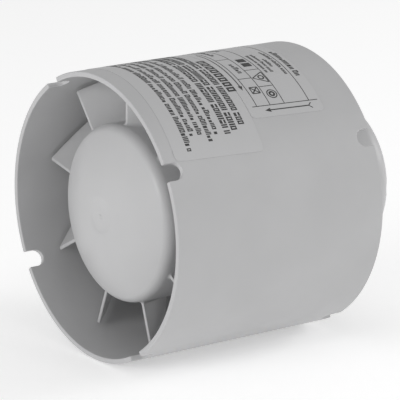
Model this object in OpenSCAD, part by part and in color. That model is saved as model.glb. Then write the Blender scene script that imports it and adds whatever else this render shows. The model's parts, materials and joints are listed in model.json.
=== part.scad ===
// Inline duct fan for 100 mm ducting.
// The fan axis is Y: the outlet end faces -Y, the inlet end faces +Y, +Z is up.
// The origin is on the axis, halfway along the casing.
// Depths are measured along the axis from the outlet rim, and clock angles
// are measured clockwise from +Z, looking into the outlet.

/* [Casing] */
// Outer diameter of the casing, which a duct or hose slides over
casing_od = 99; // [97:0.5:102]
// Wall thickness of the casing
casing_wall = 1.8; // [1.6:0.1:2.2]
// Length of the casing along the duct
casing_len = 84.5; // [84:0.5:88]
// Width of each rim notch
notch_w = 6; // [5:0.2:8]
// Depth of each rim notch from the rim
notch_depth = 6.2; // [5:0.1:8]
// Clock angle of the first rim notch
notch_clock = 60; // [0:5:85]
// Number of notches in each rim
notch_count = 4; // [2:1:6]

/* [Impeller] */
// Number of blades
blade_count = 9; // [5:1:11]
// Clock angle of the first blade's outlet edge
blade_clock = 1.5; // [0:0.5:39]
// Depth of the blades' outlet edges
blade_depth = 13; // [12:0.5:15]
// Length of a blade along the axis
blade_len = 21.5; // [18:0.5:23]
// How far a blade turns over that length
blade_turn = 30; // [20:1:36]
// Blade thickness in the middle
blade_thick = 1.5; // [1.2:0.1:2]
// Gap between the blade tips and the casing
tip_gap = 1.2; // [0.8:0.1:2]
// Radius of the hub
hub_r = 30.5; // [29:0.5:31]
// Depth of the hub's crown
hub_depth = 2.5; // [2:0.5:4]
// Depth of the hub's open end
hub_end = 36.5; // [35:0.5:37]
// Radius of the dome that the hub's front is cut from
crown_r = 70; // [60:1:90]
// Rounding radius of the hub's edge
hub_round = 4; // [3:0.5:6]

/* [Motor pod] */
// Outer radius of the motor pod
pod_r = 28; // [27.5:0.1:28.5]
// Wall thickness of the pod
pod_wall = 1.6; // [1.4:0.1:1.6]
// How far the pod's cover stands out behind the casing
pod_proud = 23; // [21:0.5:24]
// Rounding radius of the pod's rear edge
pod_round = 7; // [6:0.5:8]
// Thickness of each rib that carries the pod
rib_thick = 2.2; // [1.8:0.2:3]

/* [Motor] */
// Radius of the motor shaft
shaft_r = 2; // [1.6:0.1:2.2]
// Radius of the rotor
rotor_r = 7.5; // [7:0.1:7.6]
// Thickness of the lamination stack
stack_len = 16; // [14:1:16]

/* [Labels] */
// Thickness of the stuck-on labels
label_thick = 0.1; // [0.06:0.01:0.15]

/* [Hidden] */
$fn = 96;

// Casing
casing_r = casing_od / 2;
bore_r = casing_r - casing_wall;

// Impeller
tip_r = bore_r - tip_gap;
hub_wall = 1.8;
edge_r = hub_r - hub_round;
crown_angle = asin(edge_r / (crown_r - hub_round));
edge_depth = hub_depth + crown_r - (crown_r - hub_round) * cos(crown_angle);
hub_rib_end = 19;
mark_r = 5.4;
mark_depth = 0.35;
mark_nub = 0.1;
mark_nub_r = 0.9;
hub_rib_thick = 1.2;
hub_rib_count = 6;
root_sink = 0.9;
boss_r = 5.5;
boss_end = 33;
shaft_front = 7;
clip_front = 28;
clip_len = 4;
clip_wall = 0.9;
clip_gap = 2;
slinger_r = 6.5;
slinger_front = 36.6;
slinger_thick = 1;
collar_r = 3.2;
collar_len = 1.8;
blade_steps = 8;
span_steps = 3;
blade_camber = 0.25;
blade_edge = 1;

// Motor pod
pod_inner = pod_r - pod_wall;
pod_front = 39.5;
cup_end = casing_len;
gasket_thick = 0.8;
cover_front = cup_end + gasket_thick;
pod_end = casing_len + pod_proud;
cup_round = 4;
ring_wall = 1.6;
ring_front = 52;
ring_len = 22;
rib_clock = 45;
rib_count = 4;
rib_front = 50;
rib_rear = 79;
rib_margin = 2;
rib_sink = 0.5;
cup_hole_r = 3.4;
cover_post_front = 60;
motor_hole_front = 43;
cover_hole_front = 72;
screw_hole_len = 20;

// Motor, with its stack's middle plane halfway along
stack_mid = 64;
stack_front = stack_mid - stack_len / 2;
core_gap = 0.4;
rotor_len = 18;
end_ring_len = 2;
core_w = 34;
core_top = 13;
core_bottom = -18;
core_corner = 4;
window_w = 22;
window_top = -9.4;
window_bottom = -14;
screw_x = 13.3;
screw_r = 1.5;
hole_r = screw_r + 0.1;
post_r = 3.4;
post_end = 52;
foot_thick = 1.6;
bush_len = 2.4;
bracket_w = 9;
bracket_leg_x = 8.2;
bracket_leg_thick = 1.4;
bracket_deck = 46.5;
housing_r = 6;
housing_front = 44;
housing_len = 8.5;
bearing_r = 4.5;
bearing_len = 6.4;
bearing_clear = 0.03;
pad_len = 0.8;
pad_hole_r = 2.7;
washer_r = 4;
washer_len = 1.35;
shaft_end = 83.4;
bar_half = 2;
slot_x = 9.6;
slot_z = 6.4;
slot_half = 0.8;
bar_clear = 0.1;
strap_thick = 1.2;
strap_len = 4.6;
bar_z = (core_bottom + window_bottom) / 2;
bobbin_wall = 0.8;
coil_build = 2.8;
coil_half_w = 9.8;
flange_thick = 1;

// Rear electrics
plate_thick = 1.5;
plate_r = pod_inner - 0.5;
plate_rear = cup_end + plate_thick;
cover_post_x = pod_inner - 3;
head_r = 2.8;
head_len = 2.2;
head_seat = 99.5;
block_w = 16;
block_h = 11;
block_x = 7;
block_z = 5;
block_len = 10;
pole_pitch = 7.6;
wire_depth = plate_rear + 3.6;
grommet_clock = 240;
grommet_depth = 92.5;
grommet_bore = 3.3;
clamp_reach = 14;
clamp_post_x = 5.8;
clamp_post_len = 8.5;
clamp_post_r = 2.4;
clamp_screw_r = 1.1;
clamp_hole_r = 1.2;
clamp_w = 16.8;
clamp_h = 5.2;
clamp_thick = 2.2;
pole_r = 2.3;
grommet_neck = 4.2;
grommet_flange = 5.4;
grommet_tail = 9;

// Labels
notice_from = -26;
notice_to = 57.5;
notice_front = 6.2;
notice_len = 34.9;
rating_to = 46.3;
rating_front = 41.6;
rating_len = 29.7;

// Places children at a depth on the fan axis, with their +Z along +Y.
module on_axis(depth) {
    translate([0, depth - casing_len / 2, 0]) rotate([-90, 0, 0]) children();
}

// Turns children, drawn above the axis, to a clock angle.
module clock(angle) {
    rotate([0, 0, angle]) children();
}

// Moves children to a place in the fan's cross-section: x right, z up.
module at(x, z) {
    translate([x, -z, 0]) children();
}

// A plain ring or tube on the axis.
module ring(outer, inner, len) {
    difference() {
        cylinder(r = outer, h = len);
        translate([0, 0, -1]) cylinder(r = inner, h = len + 2);
    }
}

// A bar that points away from the axis, from one radius to another.
module radial_rod(r, from, to) {
    translate([0, -from, 0]) rotate([90, 0, 0]) cylinder(r = r, h = to - from);
}

// A machine screw along the axis, its head towards the inlet.
module screw(shank, len, head, head_h, slot_w) {
    difference() {
        union() {
            cylinder(r = shank, h = len);
            translate([0, 0, len]) cylinder(r = head, h = head_h);
        }
        for (turn = [0, 90]) {
            rotate([0, 0, turn]) translate([-head * 0.6, -slot_w / 2, len + head_h * 0.45])
                cube([head * 1.2, slot_w, head_h]);
        }
    }
}

// Points of an arc, by centre, radius and angles.
function arc(x, y, r, from, to, steps) =
    [for (i = [0:steps]) let (a = from + (to - from) * i / steps) [x + r * cos(a), y + r * sin(a)]];

// ---------------------------------------------------------------- casing

module rim_notch() {
    radius = notch_w / 2;
    translate([0, 0, notch_depth - radius]) radial_rod(radius, bore_r - 3, casing_r + 3);
    translate([-radius, -casing_r - 3, -1])
        cube([notch_w, casing_wall + 6, notch_depth - radius + 1]);
}

module casing() {
    color("gainsboro") difference() {
        on_axis(0) ring(casing_r, bore_r, casing_len);
        for (i = [0:notch_count - 1]) {
            on_axis(0) clock(notch_clock + 360 / notch_count * i) rim_notch();
            on_axis(casing_len) mirror([0, 0, 1])
                clock(notch_clock + 360 / notch_count * i) rim_notch();
        }
    }
}

// ------------------------------------------------------------- motor frame

module frame_rib() {
    reach = bore_r - ring_wall / 2;
    clock(rib_clock) translate([-rib_thick / 2, 0, 0]) rotate([90, 0, 90])
        linear_extrude(height = rib_thick)
            polygon([[-pod_r + rib_sink, rib_front], [-reach, ring_front + rib_margin],
                [-reach, ring_front + ring_len - rib_margin], [-pod_r + rib_sink, rib_rear]]);
}

module motor_frame() {
    front = arc(pod_r - cup_round, pod_front + cup_round, cup_round, -90, 0, 6);
    color("gainsboro") difference() {
        on_axis(0) union() {
            rotate_extrude() polygon(concat([[cup_hole_r, pod_front]], front, [[pod_r, cup_end],
                [pod_inner, cup_end], [pod_inner, pod_front + cup_round],
                [pod_inner + pod_wall - cup_round, pod_front + pod_wall],
                [cup_hole_r, pod_front + pod_wall]]));
            translate([0, 0, ring_front]) ring(bore_r, bore_r - ring_wall, ring_len);
            for (i = [0:rib_count - 1]) rotate([0, 0, 360 / rib_count * i]) frame_rib();
            for (side = [-1, 1]) {
                translate([side * screw_x, 0, pod_front + 1]) cylinder(r = post_r, h = post_end - pod_front - 1);
                translate([side * cover_post_x, 0, cover_post_front])
                    cylinder(r = post_r, h = cup_end - cover_post_front);
            }
        }
        for (side = [-1, 1]) {
            on_axis(motor_hole_front) at(side * screw_x, 0) cylinder(r = screw_r, h = screw_hole_len);
            on_axis(cover_hole_front) at(side * cover_post_x, 0)
                cylinder(r = screw_r, h = screw_hole_len);
        }
    }
}

// ---------------------------------------------------------------- impeller

// A blade's clock angle at a share of its length, from outlet to inlet edge.
function blade_angle(u) = blade_turn * (u * (1 - blade_camber) + blade_camber * u * u);

// Half of the blade's width round the axis, in degrees, at a radius.
function blade_half(u, r) =
    let (slope = atan(blade_len / (blade_turn * PI / 180 * r)))
    let (thick = blade_edge + (blade_thick - blade_edge) * sin(180 * u))
    thick / sin(slope) / 2 / r * 180 / PI;

function blade_point(u, r, side) =
    let (a = blade_angle(u) + side * blade_half(u, r) - 90)
    [r * cos(a), r * sin(a), blade_depth + u * blade_len];

// Two skins of a blade, then the faces between them.
module blade() {
    root_r = hub_r - root_sink;
    cols = span_steps + 1;
    skin = (blade_steps + 1) * cols;
    points = [for (side = [1, -1]) for (i = [0:blade_steps]) for (j = [0:span_steps])
        blade_point(i / blade_steps, root_r + (tip_r - root_r) * j / span_steps, side)];
    front_skin = [for (i = [0:blade_steps - 1]) for (j = [0:span_steps - 1])
        let (p = i * cols + j) each [[p, p + 1, p + cols + 1], [p, p + cols + 1, p + cols]]];
    back_skin = [for (t = front_skin) [t[0] + skin, t[2] + skin, t[1] + skin]];
    rim = concat(
        [for (j = [0:span_steps]) j],
        [for (i = [1:blade_steps]) i * cols + span_steps],
        [for (j = [span_steps - 1:-1:0]) blade_steps * cols + j],
        [for (i = [blade_steps - 1:-1:1]) i * cols]);
    edges = [for (k = [0:len(rim) - 1]) let (a = rim[k], b = rim[(k + 1) % len(rim)])
        each [[b, a, a + skin], [b, a + skin, b + skin]]];
    difference() {
        polyhedron(points = points, faces = concat(front_skin, back_skin, edges));
        cylinder(r = hub_r, h = hub_end);
    }
}

// Depth of the middle of the hub's front wall, at a radius under the dome.
function crown_middle(r) = hub_depth + crown_r - sqrt(pow(crown_r - hub_wall / 2, 2) - r * r);

// A hub like a deep cup, its front domed, with a boss and six ribs inside.
module impeller_hub() {
    crown = arc(0, hub_depth + crown_r, crown_r, -90, -90 + crown_angle, 8);
    edge = arc(edge_r, edge_depth, hub_round, -85 + crown_angle, 0, 8);
    inner_edge = arc(edge_r, edge_depth, hub_round - hub_wall, 0, -90 + crown_angle, 6);
    inner_crown = arc(0, hub_depth + crown_r, crown_r - hub_wall, -91 + crown_angle, -90, 7);
    color("gainsboro") on_axis(0) {
        difference() {
            union() {
                rotate_extrude() polygon(concat(crown, edge, [[hub_r, hub_end],
                    [hub_r - hub_wall, hub_end]], inner_edge, inner_crown));
                translate([0, 0, hub_depth + 1]) cylinder(r = boss_r, h = boss_end - hub_depth - 1);
                for (i = [0:hub_rib_count - 1])
                    rotate([90, 0, 360 / hub_rib_count * i]) translate([0, 0, -hub_rib_thick / 2])
                        linear_extrude(height = hub_rib_thick) hub_rib();
            }
            translate([0, 0, shaft_front]) cylinder(r = shaft_r, h = boss_end);
            translate([0, 0, hub_depth - 1]) cylinder(r = mark_r, h = 1 + mark_depth);
        }
        translate([0, 0, hub_depth + mark_nub]) cylinder(r = mark_nub_r, h = 1);
    }
}

module hub_rib() {
    inner = boss_r - 0.5;
    outer = hub_r - hub_wall / 2;
    polygon([[inner, crown_middle(inner)], [edge_r / 2, crown_middle(edge_r / 2)],
        [edge_r, crown_middle(edge_r)], [outer, edge_depth], [outer, hub_rib_end], [inner, hub_rib_end]]);
}

// The blades, moulded in one with the hub and kept apart here so that the ways between them stay open.
module impeller_blades() {
    color("gainsboro") on_axis(0)
        for (i = [0:blade_count - 1]) clock(blade_clock + 360 / blade_count * i) blade();
}

// ----------------------------------------------------------- shaft and rotor

module motor_shaft() {
    color("silver") on_axis(shaft_front) cylinder(r = shaft_r, h = shaft_end - shaft_front);
}

module hub_clip() {
    color("dimgray") on_axis(clip_front) difference() {
        ring(boss_r + clip_wall, boss_r, clip_len);
        translate([-clip_gap / 2, 0, -1]) cube([clip_gap, 2 * boss_r, clip_len + 2]);
    }
}

module slinger_disc() {
    color("dimgray") {
        on_axis(slinger_front) ring(slinger_r, shaft_r, slinger_thick);
        on_axis(slinger_front - collar_len) ring(collar_r, shaft_r, collar_len);
    }
}

module thrust_washers() {
    rotor_front = stack_mid - rotor_len / 2;
    rotor_rear = stack_mid + rotor_len / 2;
    color("wheat") for (i = [0, 1]) {
        on_axis(rotor_front - washer_len * (i + 1)) ring(washer_r - i * 0.3, shaft_r, washer_len);
        on_axis(rotor_rear + washer_len * i) ring(washer_r - i * 0.3, shaft_r, washer_len);
    }
}

module rotor_core() {
    color("slategray") on_axis(stack_mid - rotor_len / 2 + end_ring_len)
        ring(rotor_r, shaft_r, rotor_len - 2 * end_ring_len);
}

module rotor_end_rings() {
    color("lightgray") for (side = [-1, 1]) {
        on_axis(stack_mid - end_ring_len / 2 + side * (rotor_len - end_ring_len) / 2)
            ring(rotor_r, shaft_r, end_ring_len);
    }
}

// -------------------------------------------------------------------- stator

// The slot that one side of a shading ring lies in, at a side of the bore.
module shading_slot(side) {
    at(side * slot_x, side * slot_z) translate([-slot_half, -slot_half, 0])
        cube([2 * slot_half, 2 * slot_half, stack_len + 2]);
}

module stator_core() {
    color("slategray") on_axis(stack_front) difference() {
        linear_extrude(height = stack_len) polygon([[-core_w / 2, -core_bottom],
            [core_w / 2, -core_bottom], [core_w / 2, -core_top + core_corner],
            [core_w / 2 - core_corner, -core_top], [-core_w / 2 + core_corner, -core_top],
            [-core_w / 2, -core_top + core_corner]]);
        translate([0, 0, -1]) cylinder(r = rotor_r + core_gap, h = stack_len + 2);
        translate([-window_w / 2, -window_top, -1])
            cube([window_w, window_top - window_bottom, stack_len + 2]);
        for (side = [-1, 1]) {
            translate([0, 0, -1]) at(side * screw_x, 0) cylinder(r = hole_r, h = stack_len + 2);
            translate([0, 0, -1]) shading_slot(side);
        }
    }
}

// A copper bar through each slot, joined by a strap across each face of the stack.
module shading_rings() {
    half = slot_half - bar_clear;
    middle = slot_x - half + strap_len / 2;
    color("peru") on_axis(stack_front) for (side = [-1, 1]) {
        at(side * slot_x, side * slot_z) translate([-half, -half, -strap_thick])
            cube([2 * half, 2 * half, stack_len + 2 * strap_thick]);
        for (face = [-strap_thick, stack_len]) {
            at(side * middle, side * slot_z) translate([-strap_len / 2, -half, face])
                cube([strap_len, 2 * half, strap_thick]);
        }
    }
}

// A box tube round the coil's bar: height and depth of its outside, length along x.
module bar_tube(grow, inner_grow, half_len) {
    difference() {
        bar_box(grow, half_len);
        bar_box(inner_grow, half_len + 1);
    }
}

module bar_box(grow, half_len) {
    on_axis(stack_mid) at(0, bar_z) translate([-half_len, -bar_half - grow, -stack_len / 2 - grow])
        cube([2 * half_len, 2 * (bar_half + grow), stack_len + 2 * grow]);
}

module coil_bobbin() {
    color("ivory") union() {
        bar_tube(bobbin_wall, 0, coil_half_w + flange_thick);
        for (side = [-1, 1]) {
            translate([side * (coil_half_w + flange_thick / 2), 0, 0])
                bar_tube(bobbin_wall + coil_build + 0.4, bobbin_wall - 0.1, flange_thick / 2);
        }
    }
}

module coil_winding() {
    color("peru") bar_tube(bobbin_wall + coil_build, bobbin_wall, coil_half_w);
}

module thermal_fuse() {
    coil_rear = stack_mid + stack_len / 2 + bobbin_wall + coil_build;
    color("ivory") on_axis(coil_rear + 1.5) at(-6, -13.4) rotate([0, 90, 0]) union() {
        cylinder(r = 1.5, h = 10);
        translate([0, 0, -2.5]) cylinder(r = 0.4, h = 15);
    }
}

// -------------------------------------------------------------- lead wires

wire_r = 0.8;
wire_sides = 8;
coil_rear_depth = stack_mid + stack_len / 2 + bobbin_wall + coil_build;
short_lead = [[4, -17.5, coil_rear_depth], [4, -17.5, 79], [4.2, -17.2, 82], [4, -16.4, 86],
    [3.6, -13, 89], [block_x - pole_pitch / 2, -8, wire_depth],
    [block_x - pole_pitch / 2, -3, wire_depth], [block_x - pole_pitch / 2, 1, wire_depth]];
long_lead = [[7.6, -17.5, coil_rear_depth], [7.6, -17.5, 79], [8.4, -17.2, 82], [9.4, -16.4, 86],
    [10.4, -13, 89], [block_x + pole_pitch / 2, -8, wire_depth],
    [block_x + pole_pitch / 2, -3, wire_depth], [block_x + pole_pitch / 2, 1, wire_depth]];

function unit(v) = v / norm(v);

// Direction of a path at one of its points.
function heading(path, i) = unit(path[min(i + 1, len(path) - 1)] - path[max(i - 1, 0)]);

// A round tube through points given as x, z and depth.
module lead(path) {
    across = [1, 0, 0];
    last = len(path) - 1;
    points = [for (i = [0:last]) let (side = unit(cross(heading(path, i), across)),
        other = cross(heading(path, i), side)) for (k = [0:wire_sides - 1])
            let (a = 360 * k / wire_sides) path[i] + wire_r * (cos(a) * side + sin(a) * other)];
    skin = [for (i = [0:last - 1]) for (k = [0:wire_sides - 1])
        let (a = i * wire_sides + k, b = i * wire_sides + (k + 1) % wire_sides)
            each [[a, b, b + wire_sides], [a, b + wire_sides, a + wire_sides]]];
    start = [[for (k = [wire_sides - 1:-1:0]) k]];
    end = [[for (k = [0:wire_sides - 1]) last * wire_sides + k]];
    polyhedron(points = [for (p = points) [p[0], -p[1], p[2]]], faces = concat(skin, start, end));
}

module lead_wires() {
    color("white") on_axis(0) {
        lead(short_lead);
        lead(long_lead);
    }
}

// ------------------------------------------------------------ motor brackets

// Front bracket, measured from the front of its bearing housing.
module bearing_bracket() {
    deck = bracket_deck - housing_front;
    foot = stack_front - foot_thick - housing_front;
    difference() {
        union() {
            cylinder(r = housing_r, h = housing_len);
            translate([-bracket_leg_x - bracket_leg_thick, -bracket_w / 2, deck])
                cube([2 * (bracket_leg_x + bracket_leg_thick), bracket_w, foot_thick]);
            for (side = [0, 1]) mirror([side, 0, 0]) {
                translate([bracket_leg_x, -bracket_w / 2, deck])
                    cube([bracket_leg_thick, bracket_w, foot - deck + foot_thick]);
                translate([bracket_leg_x, -bracket_w / 2, foot])
                    cube([core_w / 2 - bracket_leg_x, bracket_w, foot_thick]);
            }
        }
        translate([0, 0, -1]) cylinder(r = bearing_r, h = housing_len + 2);
        for (side = [-1, 1]) translate([side * screw_x, 0, foot - 1]) cylinder(r = hole_r, h = 4);
    }
}

// Repeats what lies in front of the stack's middle plane behind it.
module behind_stack() {
    mirror_y = stack_mid - casing_len / 2;
    translate([0, 2 * mirror_y, 0]) mirror([0, 1, 0]) children();
}

module front_bearing_bracket() {
    color("silver") on_axis(housing_front) bearing_bracket();
}

module rear_bearing_bracket() {
    color("silver") behind_stack() on_axis(housing_front) bearing_bracket();
}

module sleeve_bearing() {
    on_axis(housing_front + 2 * pad_len) ring(bearing_r, shaft_r + bearing_clear, bearing_len);
}

module front_bearing() {
    color("goldenrod") sleeve_bearing();
}

module rear_bearing() {
    color("goldenrod") behind_stack() sleeve_bearing();
}

module bearing_pad(depth) {
    on_axis(depth) ring(bearing_r, pad_hole_r, pad_len);
    behind_stack() on_axis(depth) ring(bearing_r, pad_hole_r, pad_len);
}

module oil_felts() {
    color("beige") bearing_pad(housing_front + pad_len);
}

module bearing_retainers() {
    color("silver") bearing_pad(housing_front);
}

module motor_screws() {
    seat = stack_front + stack_len + foot_thick;
    color("silver") on_axis(44) for (side = [-1, 1]) {
        at(side * screw_x, 0) screw(screw_r, seat - 44, head_r, head_len, 0.8);
    }
}

module vibration_bushes() {
    color("dimgray") on_axis(post_end) for (side = [-1, 1]) {
        at(side * screw_x, 0) ring(post_r, hole_r, bush_len);
    }
}

// ------------------------------------------------------------ rear electrics

module terminal_plate() {
    color("ivory") difference() {
        on_axis(cup_end) union() {
            cylinder(r = plate_r, h = plate_thick);
            clock(grommet_clock) for (side = [-1, 1]) {
                translate([side * clamp_post_x, -clamp_reach, 1])
                    cylinder(r = clamp_post_r, h = plate_thick + clamp_post_len - 1);
            }
            clock(grommet_clock) translate([-4.2, -clamp_reach - 1.8, 1]) cube([8.4, 3.6, 3.4]);
        }
        on_axis(cup_end) translate([1, 13.5, -1]) cube([11, 6.5, 4]);
        on_axis(cup_end - 1) for (side = [-1, 1]) {
            at(side * cover_post_x, 0) cylinder(r = hole_r, h = 4);
        }
        on_axis(cup_end + 3.5) clock(grommet_clock) for (side = [-1, 1]) {
            translate([side * clamp_post_x, -clamp_reach, 0]) cylinder(r = clamp_screw_r, h = 10);
        }
    }
}

module terminal_block() {
    color("white") on_axis(plate_rear) at(block_x, block_z) difference() {
        translate([-block_w / 2, -block_h / 2, 0]) cube([block_w, block_h, block_len]);
        for (side = [-1, 1]) translate([side * pole_pitch / 2, 0, 0]) {
            translate([0, 0, 2]) cylinder(r = pole_r, h = block_len);
            translate([0, block_h, wire_depth - plate_rear]) rotate([90, 0, 0]) cylinder(r = 1.3, h = 2 * block_h);
        }
        translate([-0.5, -block_h, block_len - 4]) cube([1, 2 * block_h, 5]);
    }
}

module terminal_clamps() {
    color("gold") on_axis(plate_rear + 2) for (side = [-1, 1]) {
        at(block_x + side * pole_pitch / 2, block_z) difference() {
            cylinder(r = pole_r, h = 5.6);
            translate([0, 4, wire_depth - plate_rear - 2]) rotate([90, 0, 0]) cylinder(r = 1.2, h = 8);
            translate([0, 0, 3]) cylinder(r = 1.4, h = 4);
        }
    }
}

module terminal_screws() {
    color("silver") on_axis(plate_rear + 5) for (side = [-1, 1]) {
        at(block_x + side * pole_pitch / 2, block_z) screw(1.4, 2.6, 2, 1.6, 0.6);
    }
}

module cable_clamp() {
    color("ivory") on_axis(plate_rear + clamp_post_len) clock(grommet_clock) difference() {
        translate([-clamp_w / 2, -clamp_reach - clamp_h / 2, 0]) cube([clamp_w, clamp_h, clamp_thick]);
        for (side = [-1, 1]) {
            translate([side * clamp_post_x, -clamp_reach, -1]) cylinder(r = clamp_hole_r, h = 4);
        }
    }
}

module clamp_screws() {
    start = cup_end + 4;
    seat = plate_rear + clamp_post_len + clamp_thick;
    color("silver") on_axis(start) clock(grommet_clock) for (side = [-1, 1]) {
        translate([side * clamp_post_x, -clamp_reach, 0])
            screw(clamp_screw_r, seat - start, 2.1, 1.5, 0.6);
    }
}

// A grommet in the cover's wall that the mains lead leaves through.
module cable_grommet() {
    inside = pod_inner - 2.2;
    tail = pod_r + grommet_tail;
    outline = [[grommet_bore, inside], [grommet_flange, inside], [grommet_flange, pod_inner - 0.7],
        [grommet_neck, pod_inner - 0.7], [grommet_neck, pod_r], [grommet_flange, pod_r],
        [grommet_flange, pod_r + 1.8], [4.9, pod_r + 2.6], [grommet_neck, tail],
        [grommet_bore, tail]];
    color("dimgray") on_axis(grommet_depth) clock(grommet_clock) rotate([90, 0, 0])
        rotate_extrude() polygon(outline);
}

// The rounded outline of the cover, a wall's thickness inside its outer face.
function cover_outline(inset) = concat([[0, cover_front], [pod_r - inset, cover_front]],
    arc(pod_r - pod_round, pod_end - pod_round, pod_round - inset, 0, 90, 8), [[0, pod_end - inset]]);

module terminal_cover() {
    color("gainsboro") difference() {
        on_axis(0) union() {
            difference() {
                rotate_extrude() polygon(cover_outline(0));
                translate([0, 0, -0.01]) rotate_extrude() polygon(cover_outline(pod_wall));
            }
            intersection() {
                rotate_extrude() polygon(cover_outline(0));
                for (side = [-1, 1]) {
                    translate([side * cover_post_x, 0, plate_rear]) cylinder(r = post_r, h = pod_proud);
                }
            }
        }
        for (side = [-1, 1]) {
            on_axis(cup_end) at(side * cover_post_x, 0) cylinder(r = hole_r, h = pod_proud);
            on_axis(head_seat) at(side * cover_post_x, 0) cylinder(r = head_r + 0.3, h = pod_proud);
        }
        on_axis(grommet_depth) clock(grommet_clock) radial_rod(grommet_neck, pod_inner - 4, pod_r + 2);
    }
}

module cover_gasket() {
    color("dimgray") on_axis(cup_end) ring(pod_r, pod_inner, gasket_thick);
}

module cover_screws() {
    start = cover_hole_front + 3;
    color("silver") on_axis(start) for (side = [-1, 1]) {
        at(side * cover_post_x, 0) screw(screw_r, head_seat - start, head_r, head_len, 0.8);
    }
}

// -------------------------------------------------------------------- labels

// A sheet on the casing's outside, between two clock angles.
module wrapped_sheet(from, to, len) {
    reach = 2 * casing_r;
    middle = (from + to) / 2;
    intersection() {
        ring(casing_r + label_thick, casing_r, len);
        linear_extrude(height = len) polygon([[0, 0],
            [reach * sin(from), -reach * cos(from)], [reach * sin(middle), -reach * cos(middle)],
            [reach * sin(to), -reach * cos(to)]]);
    }
}

module notice_label() {
    color("white") on_axis(notice_front) wrapped_sheet(notice_from, notice_to, notice_len);
}

module rating_label() {
    color("white") on_axis(rating_front) wrapped_sheet(notice_from, rating_to, rating_len);
}

casing();
motor_frame();
impeller_hub();
impeller_blades();
motor_shaft();
hub_clip();
slinger_disc();
thrust_washers();
rotor_core();
rotor_end_rings();
stator_core();
shading_rings();
coil_bobbin();
coil_winding();
thermal_fuse();
lead_wires();
front_bearing_bracket();
rear_bearing_bracket();
front_bearing();
rear_bearing();
oil_felts();
bearing_retainers();
motor_screws();
vibration_bushes();
terminal_plate();
terminal_block();
terminal_clamps();
terminal_screws();
cable_clamp();
clamp_screws();
cable_grommet();
terminal_cover();
cover_gasket();
cover_screws();
notice_label();
rating_label();
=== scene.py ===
"""Looks for the inline duct fan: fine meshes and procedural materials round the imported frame.

Shapes are worked out in millimetres and turned into metres when a mesh is made.
A place on the fan is a radius, a clock angle and a depth. Clock angles are in degrees,
clockwise from +Z, looking into the outlet, and depths run from the outlet rim along +Y.
"""

import json
import math
import random

import bmesh
import bpy
from mathutils import Matrix, Vector
from mathutils.geometry import delaunay_2d_cdt


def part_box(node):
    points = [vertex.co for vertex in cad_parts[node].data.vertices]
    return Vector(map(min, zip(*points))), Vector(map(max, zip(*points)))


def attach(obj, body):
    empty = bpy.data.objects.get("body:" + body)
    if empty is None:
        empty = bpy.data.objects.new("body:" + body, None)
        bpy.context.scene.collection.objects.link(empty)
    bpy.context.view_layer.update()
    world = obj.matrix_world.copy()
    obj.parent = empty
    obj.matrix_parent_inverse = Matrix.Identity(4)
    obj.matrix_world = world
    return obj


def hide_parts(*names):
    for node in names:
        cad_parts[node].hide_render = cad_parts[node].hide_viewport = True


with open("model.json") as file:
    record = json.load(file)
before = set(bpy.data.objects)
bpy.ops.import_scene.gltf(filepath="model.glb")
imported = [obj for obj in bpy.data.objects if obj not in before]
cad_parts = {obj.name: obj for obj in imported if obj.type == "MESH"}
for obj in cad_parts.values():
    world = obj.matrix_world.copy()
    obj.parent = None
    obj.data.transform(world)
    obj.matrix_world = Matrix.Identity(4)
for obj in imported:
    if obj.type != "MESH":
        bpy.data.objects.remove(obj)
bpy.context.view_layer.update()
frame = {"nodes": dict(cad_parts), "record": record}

MM = 0.001
HOUSING = "housing"
ROTATING = "rotating_set"

# ------------------------------------------------------- sizes, in millimetres and degrees

mounts = {m["name"]: m for m in frame["record"]["mounts"]}
CASING_R = mounts["duct_spigot"]["dims"]["r_mm"]
CASING_LEN = mounts["duct_spigot"]["dims"]["length_mm"]
CASING_WALL = 1.8
BORE_R = CASING_R - CASING_WALL
AROUND = 2 * math.pi * CASING_R
RIM_ROUND = 0.3
NOTCH_W = 6.0
NOTCH_DEPTH = 6.2
NOTCH_CORNER = 0.4
NOTCH_CLOCKS = [60, 150, 240, 330]

HUB_R = 30.5
HUB_WALL = 1.8
HUB_FRONT = 2.5
HUB_END = 36.5
CROWN_R = 70.0
HUB_ROUND = 4.0
BOSS_R = 5.5
BOSS_END = 33.0
SHAFT_HOLE_R = 2.02
SHAFT_FRONT = 7.0
MARK_R = 5.4
MARK_DEPTH = 0.35
BLADES = 9
BLADE_CLOCK = 1.5
BLADE_DEPTH = 13.0
BLADE_LEN = 21.5
BLADE_TURN = 30.0
BLADE_CAMBER = 0.25
BLADE_EDGE = 1.0
BLADE_THICK = 1.5
BLADE_TIP_R = BORE_R - 1.2
BLADE_FILLET = 1.1
HUB_OVERLAP = 0.8

POD_R = 28.0
POD_WALL = 1.6
POD_FRONT = 39.5
POD_ROUND = 7.0
POD_END = CASING_LEN + 23.0
CUP_ROUND = 4.0
GASKET = 0.8
COVER_FRONT = CASING_LEN + GASKET
RING_WALL = 1.6
RING_FRONT = 52.0
RING_LEN = 22.0
RIB_THICK = 2.2
RIB_FRONT = 50.0
RIB_REAR = 79.0
RIB_FLARE = 1.4
CUP_HOLE_R = 3.4
MOTOR_SCREW_X = 13.3
MOTOR_POST_END = 52.0
COVER_POST_FRONT = 60.0
RIB_CLOCKS = [45, 135, 225, 315]
POST_X = POD_R - POD_WALL - 3.0
POST_R = 3.4
SCREW_R = 1.5
SCREW_START = 75.0
HEAD_R = 2.8
HEAD_LEN = 2.2
HEAD_SEAT = 99.5
GROMMET_CLOCK = 240
GROMMET_DEPTH = 92.5
GROMMET_HOLE_R = 3.3
GROMMET_NECK_R = 4.2
GROMMET_RIB_R = 4.75
GROMMET_FLANGE_R = 5.4
GROMMET_LEN = 9.0
SLEEVE_HOLE_R = 1.65
SLEEVE_WELL_R = 3.16

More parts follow.
